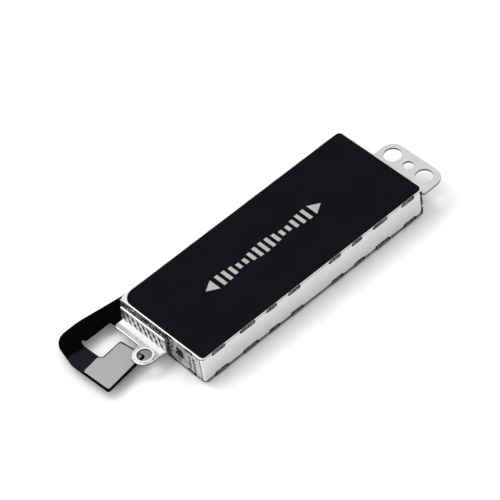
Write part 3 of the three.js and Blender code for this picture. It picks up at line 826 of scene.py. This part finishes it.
def make_coining():
    """The raised line that stamping leaves along the bracket's free edge and round its eye, lighter than the
    flange as a painted highlight.
    """
    low, _ = box_mm("eyelet_bracket")
    top, inset, corner = BRACKET_FLANGE_TOP, COINED["inset"], COINED["corner"]
    flange_x = BRACKET_FREE_EDGE_X + inset
    eye = (low.x + EYE["radius"], EYE["y"], top)
    path = [Vector((flange_x, 4.9 - 0.34 * step, top)) for step in range(10)]
    path += arc((flange_x - corner, 1.85, top), corner, 0, -72, 5)[1:]
    path += arc(eye, EYE["radius"] - inset, 105, 262, 26)
    path += [Vector((eye[0] + 0.35 + 0.25 * step, -0.97 + 0.012 * step, top)) for step in range(5)]
    section = [(-0.055, -0.01), (0.055, -0.01), (0.035, 0.028), (0, 0.036), (-0.035, 0.028)]
    bm = bmesh.new()
    add_sweep(bm, path, section)
    piece("bracket_coined_edge", bm, "burnished_highlight_steel", "casing", crisp=80)


def make_residue():
    """Lumpy flux residue between the bracket's upright and the lead exit."""
    low, _ = box_mm("left_end_wall")
    bm = bmesh.new()
    for _ in range(64):
        y = -1.1 - 0.95 * random.random()
        z = 1.35 + 1.75 * random.random()
        size = 0.09 + 0.09 * random.random()
        add_dome(bm, Vector((low.x - 0.01, y, z)), (0.04 + 0.06 * random.random(), size, size * 0.8))
    for _ in range(22):
        y = -1.0 + 6.0 * random.random()
        size = 0.06 + 0.07 * random.random()
        add_dome(bm, Vector((low.x - 0.18, y, 3.0)), (0.09, size, 0.05 + 0.04 * random.random()))
    piece("flux_residue", bm, "residue", "casing")


def make_seal():
    """Resin that has shrunk back into the lead exit, with a meniscus round its edge."""
    bm = node_mesh("lead_exit_seal")
    low, high = box_mm("lead_exit_seal")
    middle = (low + high) / 2
    bmesh.ops.delete(bm, geom=[f for f in bm.faces if f.normal.x < -0.9], context="FACES_ONLY")
    rim = [e for e in bm.edges if e.is_boundary]
    ring = list({v for e in rim for v in e.verts})
    ring.sort(key=lambda v: math.atan2(v.co.z - middle.z, v.co.y - middle.y))
    rows = [ring]
    for depth, share in ((0.10, 0.93), (0.17, 0.8), (0.20, 0.55), (0.21, 0.25)):
        rows.append([bm.verts.new((low.x + depth, middle.y + (v.co.y - middle.y) * share,
                                   middle.z + (v.co.z - middle.z) * share)) for v in ring])
    for outer, inner in zip(rows, rows[1:]):
        for index in range(len(ring)):
            other = (index + 1) % len(ring)
            bm.faces.new((outer[index], outer[other], inner[other], inner[index]))
    bm.faces.new(rows[-1])
    piece("lead_exit_resin", bm, "resin", "casing", ["lead_exit_seal"], crisp=60)


def slice_across(bm, axis, start, end, step):
    """Cuts a mesh into thin slices along one axis."""
    place = start
    while place < end:
        point, normal = Vector((0, 0, 0)), Vector((0, 0, 0))
        point[axis] = place
        normal[axis] = 1
        everything = bm.verts[:] + bm.edges[:] + bm.faces[:]
        bmesh.ops.bisect_plane(bm, geom=everything, plane_co=point, plane_no=normal)
        place += step


def bend_with_connector(made):
    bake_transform(made)


def make_flex():
    bm = node_mesh("flex_cable")
    soften(bm, 0.025, 2)
    slice_across(bm, 0, -20.0, -13.4, 0.3)
    made = piece("flex_circuit", bm, "flex_film", None, ["flex_cable"])
    bend_with_connector(made)
    make_traces()


TRACKS = {"count": 6, "first": 0.3, "pitch": 0.26, "narrowing": 0.86}


def make_traces():
    """Copper tracks that show as low ridges under the cover film, side by side along the strip."""
    bm = bmesh.new()
    z = box_mm("flex_cable")[1].z
    section = [(-0.05, -0.01), (0.05, -0.01), (0.035, 0.012), (-0.035, 0.012)]
    run = [x for x in (-11.2 - 0.3 * step for step in range(25)) if x > -18.6]
    for lane in range(TRACKS["count"]):
        inset = (TRACKS["first"] + TRACKS["pitch"] * lane) * TRACKS["narrowing"]
        path = [Vector((x, 8.0 + 0.72 * ((-13.6 - x) / 5.0) - inset, z)) for x in run]
        path += arc((-20.3, 6.75, z), 1.98 - inset, 90, 172, 12)
        last = path[-1]
        path += [Vector((last.x - 0.012 * step, last.y - 0.3 * step, z)) for step in range(1, 10)]
        add_sweep(bm, path, section)
    made = piece("flex_tracks", bm, "flex_film", None)
    bend_with_connector(made)


PLUG = {"middle": (-19.85, 1.85, 0), "turn": 7}
CONTACTS = {"count": 10, "first": -1.26, "pitch": 0.28, "half_width": 0.06}
# Each contact's three bars: from and to, across the plug, and their heights.
CONTACT_BARS = ((0.16, 0.30, 0.22, 0.60), (0.28, 0.68, 0.50, 0.58), (0.6, 0.68, 0.2, 0.56))


def make_connector():
    rounded_copy("connector_stiffener", 0.035)
    rounded_copy("board_connector", 0.04)
    middle = Vector(PLUG["middle"])
    turn = math.radians(PLUG["turn"])
    wide = CONTACTS["half_width"]
    bm = bmesh.new()
    for row in (-1, 1):
        for index in range(CONTACTS["count"]):
            along = CONTACTS["first"] + CONTACTS["pitch"] * index
            for inner, outer, z0, z1 in CONTACT_BARS:
                across = row * (inner + outer) / 2
                half = (outer - inner) / 2
                spot = middle + Vector((along * math.cos(turn) - across * math.sin(turn),
                                        along * math.sin(turn) + across * math.cos(turn), 0))
                add_box(bm, spot + Vector((-wide, -half, z0)), spot + Vector((wide, half, z1)), turn)
    soften(bm, 0.015, 1)
    piece("connector_contacts", bm, "gold", "connector")


# ---------------------------------------------------------------- stator
def racetrack(centre_x, half_x, half_y, radius, z, steps=8):
    path = []
    for sign_x, sign_y, start in ((1, -1, -90), (1, 1, 0), (-1, 1, 90), (-1, -1, 180)):
        corner = (centre_x + sign_x * (half_x - radius), sign_y * (half_y - radius), z)
        path += arc(corner, radius, start, start + 90, steps)
    return path


COIL = {"leg": 2.2, "wire": 0.157, "layers": 4, "half_x": 3.5, "half_y": 4.2, "corner": 0.55}


def groove(index, depth):
    """How far the winding dips at a quarter step of a wire: by depth between wires, not at a crown."""
    return depth * (1 - abs(math.sin(math.pi * index / 4)))


def make_coil(node):
    """A flat coil: each turn of wire shows as a ridge on the winding's faces."""
    low, high = box_mm(node)
    centre_x = (low.x + high.x) / 2
    leg = COIL["leg"]
    half_leg = leg / 2
    height = high.z - low.z
    turn_steps = int(leg / COIL["wire"]) * 4
    layer_steps = COIL["layers"] * 4
    section = []
    for side in (1, -1):
        for index in range(turn_steps):
            across = leg * index / turn_steps - half_leg
            section.append((side * across, side * (groove(index, 0.035) - height / 2)))
        for index in range(layer_steps):
            up = height * index / layer_steps - height / 2
            section.append((side * (half_leg - groove(index, 0.03)), side * up))
    bm = bmesh.new()
    path = racetrack(centre_x, COIL["half_x"] - half_leg, COIL["half_y"] - half_leg, COIL["corner"],
                     (low.z + high.z) / 2, 6)
    add_sweep(bm, path, section, closed=True)
    piece(f"{node}_winding", bm, "coil_wire", "casing", [node], crisp=70)


def make_stator():
    rounded_copy("base_circuit", 0.02, segments=1)
    make_coil("coil_left")
    make_coil("coil_right")
    rounded_copy("position_sensor", 0.04)
    joint_z = box_mm("base_circuit")[1].z + 0.02
    pads = bmesh.new()
    for x in (-7.6, -0.25, 0.25, 7.6):
        add_dome(pads, Vector((x, 3.7, joint_z)), (0.22, 0.3, 0.07))
    for y in (-0.7, 0, 0.7):
        for side in (-1, 1):
            add_dome(pads, Vector((-3.75 + side * 0.56, y, joint_z)), (0.09, 0.12, 0.06))
    piece("solder_joints", pads, "solder", "casing")
    for node in ("capacitor_near", "capacitor_far"):
        rounded_copy(node, 0.05)
        low, high = box_mm(node)
        caps = bmesh.new()
        for x0, x1 in ((low.x - 0.02, low.x + 0.24), (high.x - 0.24, high.x + 0.02)):
            add_box(caps, (x0, low.y - 0.015, low.z - 0.01), (x1, high.y + 0.015, high.z + 0.015))
        soften(caps, 0.04, 2)
        piece(f"{node}_ends", caps, "solder", "casing")


# ---------------------------------------------------------------- moving mass, springs and bumpers
def make_mass():
    rounded_copy("mass_frame", 0.06)
    for side in ("left", "right"):
        rounded_copy(f"tungsten_weight_{side}", 0.12)
        rounded_copy(f"magnet_{side}_pole", 0.1)
        rounded_copy(f"magnet_{side}_transition", 0.1)
        rounded_copy(f"mass_clamp_{side}", 0.04)
        rounded_copy(f"wall_clamp_{side}", 0.04)
        for place in ("near", "far"):
            rounded_copy(f"bumper_{side}_{place}", 0.1)
    rounded_copy("magnet_center_pole", 0.1)
    rounded_copy("back_iron", 0.05)


SPRING_FLAT_X = 14.4
SPRING_MASS_X = 12.66
SPRING_BEND_Y = 3.7
SPRING_TIP_Y = 4.6
SPRING_END_Y = 5.1


def make_spring(side, sign):
    """A V of leaf steel with smooth bends, from the casing at one end to the mass at the other."""
    low, high = box_mm(f"leaf_spring_{side}")
    height = (low.z + high.z) / 2
    middle = (SPRING_FLAT_X + SPRING_MASS_X) / 2
    tip = 0.3
    path = [Vector((SPRING_FLAT_X, SPRING_END_Y - 0.2 * step, 0)) for step in range(7)]
    blade = 24
    for start_x, end_x, order in ((SPRING_FLAT_X, middle + tip, 1), (SPRING_MASS_X, middle - tip, -1)):
        run = []
        for step in range(1, blade + 1):
            share = step / blade
            ease = share * share * (3 - 2 * share)
            run.append(Vector((start_x + (end_x - start_x) * (0.4 * ease + 0.6 * share),
                               SPRING_BEND_Y - (SPRING_BEND_Y + SPRING_TIP_Y) * share, 0)))
        if order == 1:
            path += run
            path += arc((middle, -SPRING_TIP_Y, 0), tip, 0, -180, 10)[1:-1]
        else:
            path += list(reversed(run))
    path += [Vector((SPRING_MASS_X, SPRING_BEND_Y + 0.2 * step, 0)) for step in range(8)]
    path = [Vector((sign * p.x, sign * p.y, height)) for p in path]
    half = (high.z - low.z) / 2
    edge, thick = 0.03, 0.07
    section = [(-thick, -half + edge), (-thick + edge, -half), (thick - edge, -half), (thick, -half + edge),
               (thick, half - edge), (thick - edge, half), (-thick + edge, half), (-thick, half - edge)]
    bm = bmesh.new()
    add_sweep(bm, path, section)
    made = piece(f"leaf_spring_{side}_blade", bm, "spring_steel", None,
                 [f"leaf_spring_{side}"])
    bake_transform(made)


# ---------------------------------------------------------------- floor
FLOOR_DROP = -0.24  # where the table lies, measured from the casing's underside


def make_floor():
    bm = bmesh.new()
    bmesh.ops.create_grid(bm, x_segments=2, y_segments=2, size=0.6)
    mesh = bpy.data.meshes.new("floor")
    bm.to_mesh(mesh)
    bm.free()
    floor = bpy.data.objects.new("floor", mesh)
    bpy.context.scene.collection.objects.link(floor)
    finish = Finish("floor_white", (0.93, 0.93, 0.93), 0.0, 0.9)
    finish.use("Base Color", finish.ramp(finish.noise(0.02, 2), (0.92, 0.92, 0.92), (0.94, 0.94, 0.94)))
    mesh.materials.append(finish.material)
    floor.location.z = FLOOR_DROP * MM


make_floor()
make_casing()
make_welds()
make_seam_shadow_strips()
make_mark()
make_end_marks()
make_spot_welds()
make_coining()
make_residue()
make_seal()
make_flex()
make_connector()
make_stator()
make_mass()
make_spring("left", -1)
make_spring("right", 1)
